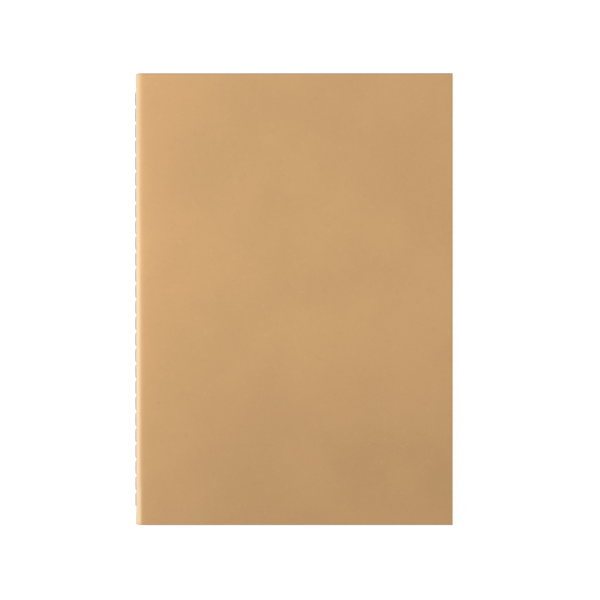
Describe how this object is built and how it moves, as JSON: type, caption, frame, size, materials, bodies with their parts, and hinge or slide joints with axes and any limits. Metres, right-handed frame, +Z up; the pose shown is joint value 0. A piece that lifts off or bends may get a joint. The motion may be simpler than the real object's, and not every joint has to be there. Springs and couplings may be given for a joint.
{
  "type": "lined notebook",
  "caption": "Closed lined notebook: folded ruled leaves machine-sewn through the fold into a plain square-cornered kraft paper cover; cover and leaves open.",
  "frame": {"origin": "on the table plane under the back cover, at the middle of the closed notebook's outline, stitches included", "axes": "+X to the fore edge, with the spine on the -X side; +Y to the head; +Z up through the front cover"},
  "size_m": [0.1476, 0.21, 0.0043],
  "materials": {
    "kraft_cover": "matte",
    "ruled_paper": "matte",
    "sewing_thread": "matte"
  },
  "bodies": {
    "back_block": {"cover_back": "kraft_cover", "cover_spine": "kraft_cover", "sheet_01_fold": "ruled_paper", "sheet_02_fold": "ruled_paper", "sheet_03_fold": "ruled_paper", "sheet_04_fold": "ruled_paper", "sheet_05_fold": "ruled_paper", "sheet_06_fold": "ruled_paper", "sheet_07_fold": "ruled_paper", "sheet_08_fold": "ruled_paper", "sheet_09_fold": "ruled_paper", "sheet_10_fold": "ruled_paper", "sheet_11_fold": "ruled_paper", "sheet_12_fold": "ruled_paper", "sheet_13_fold": "ruled_paper", "sheet_14_fold": "ruled_paper", "sheet_15_fold": "ruled_paper", "sheet_16_fold": "ruled_paper", "sheet_01_back_leaf": "ruled_paper", "sheet_02_back_leaf": "ruled_paper", "sheet_03_back_leaf": "ruled_paper", "sheet_04_back_leaf": "ruled_paper", "sheet_05_back_leaf": "ruled_paper", "sheet_06_back_leaf": "ruled_paper", "sheet_07_back_leaf": "ruled_paper", "sheet_08_back_leaf": "ruled_paper", "sheet_09_back_leaf": "ruled_paper", "sheet_10_back_leaf": "ruled_paper", "sheet_11_back_leaf": "ruled_paper", "sheet_12_back_leaf": "ruled_paper", "sheet_13_back_leaf": "ruled_paper", "sheet_14_back_leaf": "ruled_paper", "sheet_15_back_leaf": "ruled_paper", "sheet_16_back_leaf": "ruled_paper"},
    "seam": {"needle_thread": "sewing_thread", "bobbin_thread": "sewing_thread"},
    "leaf_01": {"sheet_01_front_leaf": "ruled_paper"},
    "leaf_02": {"sheet_02_front_leaf": "ruled_paper"},
    "leaf_03": {"sheet_03_front_leaf": "ruled_paper"},
    "leaf_04": {"sheet_04_front_leaf": "ruled_paper"},
    "leaf_05": {"sheet_05_front_leaf": "ruled_paper"},
    "leaf_06": {"sheet_06_front_leaf": "ruled_paper"},
    "leaf_07": {"sheet_07_front_leaf": "ruled_paper"},
    "leaf_08": {"sheet_08_front_leaf": "ruled_paper"},
    "leaf_09": {"sheet_09_front_leaf": "ruled_paper"},
    "leaf_10": {"sheet_10_front_leaf": "ruled_paper"},
    "leaf_11": {"sheet_11_front_leaf": "ruled_paper"},
    "leaf_12": {"sheet_12_front_leaf": "ruled_paper"},
    "leaf_13": {"sheet_13_front_leaf": "ruled_paper"},
    "leaf_14": {"sheet_14_front_leaf": "ruled_paper"},
    "leaf_15": {"sheet_15_front_leaf": "ruled_paper"},
    "leaf_16": {"sheet_16_front_leaf": "ruled_paper"},
    "front_cover": {"cover_front": "kraft_cover"}
  },
  "joints": [
    {"name": "centre_opening", "type": "hinge", "parent": "back_block", "child": "leaf_03", "pos_m": [-0.07162, 0, 0.00215], "axis": [0, -1, 0], "range_deg": [0, 178], "deforming": ["cover_spine", "sheet_01_fold", "sheet_02_fold", "sheet_03_fold", "sheet_04_fold", "sheet_05_fold", "sheet_06_fold", "sheet_07_fold", "sheet_08_fold", "sheet_09_fold", "sheet_10_fold", "sheet_11_fold", "sheet_12_fold", "sheet_13_fold", "sheet_14_fold", "sheet_15_fold", "sheet_16_fold"]},
    {"name": "front_cover_opening", "type": "hinge", "parent": "leaf_03", "child": "front_cover", "pos_m": [-0.07162, 0, 0.00433], "axis": [0, 1, 0], "range_deg": [-179, 0]},
    {"name": "leaf_01_turn", "type": "hinge", "parent": "leaf_03", "child": "leaf_01", "pos_m": [-0.07162, 0, 0.00433], "axis": [0, 1, 0], "range_deg": [-179, 0]},
    {"name": "leaf_02_turn", "type": "hinge", "parent": "leaf_03", "child": "leaf_02", "pos_m": [-0.07162, 0, 0.00433], "axis": [0, 1, 0], "range_deg": [-179, 0]},
    {"name": "leaf_04_turn", "type": "hinge", "parent": "back_block", "child": "leaf_04", "pos_m": [-0.07162, 0, 0.00215], "axis": [0, -1, 0], "range_deg": [0, 178]},
    {"name": "leaf_05_turn", "type": "hinge", "parent": "back_block", "child": "leaf_05", "pos_m": [-0.07162, 0, 0.00215], "axis": [0, -1, 0], "range_deg": [0, 178]},
    {"name": "leaf_06_turn", "type": "hinge", "parent": "back_block", "child": "leaf_06", "pos_m": [-0.07162, 0, 0.00215], "axis": [0, -1, 0], "range_deg": [0, 178]},
    {"name": "leaf_07_turn", "type": "hinge", "parent": "back_block", "child": "leaf_07", "pos_m": [-0.07162, 0, 0.00215], "axis": [0, -1, 0], "range_deg": [0, 178]},
    {"name": "leaf_08_turn", "type": "hinge", "parent": "back_block", "child": "leaf_08", "pos_m": [-0.07162, 0, 0.00215], "axis": [0, -1, 0], "range_deg": [0, 178]},
    {"name": "leaf_09_turn", "type": "hinge", "parent": "back_block", "child": "leaf_09", "pos_m": [-0.07162, 0, 0.00215], "axis": [0, -1, 0], "range_deg": [0, 178]},
    {"name": "leaf_10_turn", "type": "hinge", "parent": "back_block", "child": "leaf_10", "pos_m": [-0.07162, 0, 0.00215], "axis": [0, -1, 0], "range_deg": [0, 178]},
    {"name": "leaf_11_turn", "type": "hinge", "parent": "back_block", "child": "leaf_11", "pos_m": [-0.07162, 0, 0.00215], "axis": [0, -1, 0], "range_deg": [0, 178]},
    {"name": "leaf_12_turn", "type": "hinge", "parent": "back_block", "child": "leaf_12", "pos_m": [-0.07162, 0, 0.00215], "axis": [0, -1, 0], "range_deg": [0, 178]},
    {"name": "leaf_13_turn", "type": "hinge", "parent": "back_block", "child": "leaf_13", "pos_m": [-0.07162, 0, 0.00215], "axis": [0, -1, 0], "range_deg": [0, 178]},
    {"name": "leaf_14_turn", "type": "hinge", "parent": "back_block", "child": "leaf_14", "pos_m": [-0.07162, 0, 0.00215], "axis": [0, -1, 0], "range_deg": [0, 178]},
    {"name": "leaf_15_turn", "type": "hinge", "parent": "back_block", "child": "leaf_15", "pos_m": [-0.07162, 0, 0.00215], "axis": [0, -1, 0], "range_deg": [0, 178]},
    {"name": "leaf_16_turn", "type": "hinge", "parent": "back_block", "child": "leaf_16", "pos_m": [-0.07162, 0, 0.00215], "axis": [0, -1, 0], "range_deg": [0, 178]},
    {"name": "seam_turn", "type": "hinge", "parent": "back_block", "child": "seam", "pos_m": [-0.07162, 0, 0.00215], "axis": [0, -1, 0], "range_deg": [0, 90]}
  ],
  "couplings": [
    {"joint": "leaf_01_turn", "follows": "front_cover_opening", "ratio": 0.96},
    {"joint": "leaf_02_turn", "follows": "front_cover_opening", "ratio": 0.92},
    {"joint": "leaf_04_turn", "follows": "centre_opening", "ratio": 0.9985},
    {"joint": "leaf_05_turn", "follows": "centre_opening", "ratio": 0.997},
    {"joint": "leaf_06_turn", "follows": "centre_opening", "ratio": 0.9955},
    {"joint": "leaf_07_turn", "follows": "centre_opening", "ratio": 0.994},
    {"joint": "leaf_08_turn", "follows": "centre_opening", "ratio": 0.9925},
    {"joint": "leaf_09_turn", "follows": "centre_opening", "ratio": 0.991},
    {"joint": "leaf_10_turn", "follows": "centre_opening", "ratio": 0.9895},
    {"joint": "leaf_11_turn", "follows": "centre_opening", "ratio": 0.988},
    {"joint": "leaf_12_turn", "follows": "centre_opening", "ratio": 0.9865},
    {"joint": "leaf_13_turn", "follows": "centre_opening", "ratio": 0.985},
    {"joint": "leaf_14_turn", "follows": "centre_opening", "ratio": 0.9835},
    {"joint": "leaf_15_turn", "follows": "centre_opening", "ratio": 0.982},
    {"joint": "leaf_16_turn", "follows": "centre_opening", "ratio": 0.9805},
    {"joint": "seam_turn", "follows": "centre_opening", "ratio": 0.5}
  ]
}
